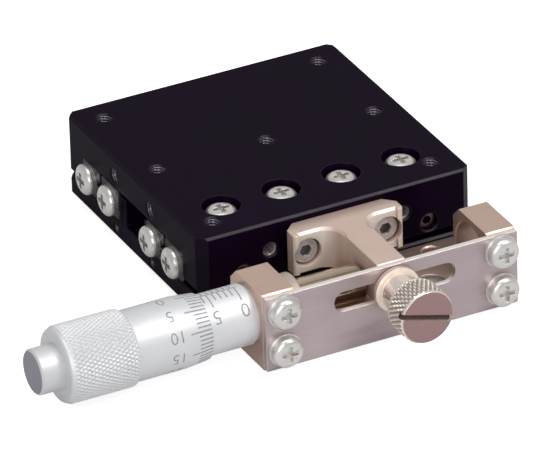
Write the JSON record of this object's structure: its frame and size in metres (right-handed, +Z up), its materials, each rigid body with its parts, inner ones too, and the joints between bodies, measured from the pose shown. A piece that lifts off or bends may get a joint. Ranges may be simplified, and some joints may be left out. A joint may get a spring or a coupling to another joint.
{
  "type": "linear translation stage",
  "caption": "Crossed-roller linear stage: a square black table on a base, driven from the side by a micrometer head, with a knurled screw that locks the travel.",
  "frame": {"origin": "middle of the base's underside, below the middle of the table at mid-travel", "axes": "+X is the travel, away from the micrometer's thimble; -Y is the micrometer's side; +Z is up, out of the table"},
  "size_m": [0.0883, 0.0815, 0.0147],
  "materials": {
    "black_anodised": "satin, anodised",
    "nickel_plate": "satin nickel",
    "satin_chrome": "satin",
    "rail_steel": "ground",
    "screw_steel": "bright",
    "dark_steel": "oiled",
    "spring_steel": "drawn wire",
    "spindle_steel": "ground",
    "cage_brass": "stamped sheet"
  },
  "bodies": {
    "base": {"base_plate": "black_anodised", "inner_rail_rear": "rail_steel", "inner_rail_front": "rail_steel", "inner_rail_screws": "screw_steel", "base_end_screws": "screw_steel", "base_spring_pin": "rail_steel", "return_spring": "spring_steel", "micrometer_bracket": "nickel_plate", "bracket_screws": "screw_steel", "clamp_plate": "nickel_plate", "clamp_plate_screws": "screw_steel", "clamp_plate_washers": "screw_steel", "micrometer_sleeve": "satin_chrome", "stem_set_screw": "dark_steel"},
    "table": {"table_plate": "black_anodised", "outer_rail_rear": "rail_steel", "outer_rail_front": "rail_steel", "table_top_screws": "screw_steel", "rear_rail_screws": "screw_steel", "table_end_screws": "screw_steel", "preload_screws": "dark_steel", "table_spring_pin": "rail_steel", "lug_bracket": "nickel_plate", "lug_screws": "screw_steel", "contact_pad": "rail_steel"},
    "cages": {"roller_cage_rear": "cage_brass", "roller_cage_front": "cage_brass", "rollers_rear": "rail_steel", "rollers_front": "rail_steel"},
    "spindle_tip": {"spindle_ball": "rail_steel"},
    "thimble": {"spindle": "spindle_steel", "thimble": "satin_chrome", "thimble_cap": "satin_chrome"},
    "clamp_washer": {"clamp_washer": "screw_steel"},
    "clamp_screw": {"clamp_thumbscrew": "nickel_plate"}
  },
  "joints": [
    {"name": "table_slide", "type": "slide", "parent": "base", "child": "table", "axis": [1, 0, 0], "range_m": [-0.0065, 0.0065], "deforming": ["return_spring"]},
    {"name": "cage_slide", "type": "slide", "parent": "base", "child": "cages", "axis": [1, 0, 0], "range_m": [-0.00325, 0.00325]},
    {"name": "spindle_slide", "type": "slide", "parent": "base", "child": "spindle_tip", "axis": [1, 0, 0], "range_m": [-0.0065, 0.0065]},
    {"name": "thimble_turn", "type": "hinge", "parent": "spindle_tip", "child": "thimble", "pos_m": [-0.04, -0.0385, 0.0078], "axis": [1, 0, 0], "range_deg": [-4680, 4680]},
    {"name": "clamp_slide", "type": "slide", "parent": "table", "child": "clamp_washer", "axis": [0, 1, 0], "range_m": [-0.000625, 0.000125]},
    {"name": "clamp_turn", "type": "hinge", "parent": "clamp_washer", "child": "clamp_screw", "pos_m": [0, -0.046, 0.0093], "axis": [0, 1, 0], "range_deg": [-450, 90]}
  ],
  "couplings": [
    {"joint": "thimble_turn", "follows": "table_slide", "rad_per_m": 12566},
    {"joint": "spindle_slide", "follows": "table_slide", "ratio": 1},
    {"joint": "cage_slide", "follows": "table_slide", "ratio": 0.5},
    {"joint": "clamp_turn", "follows": "clamp_slide", "rad_per_m": 12566}
  ]
}
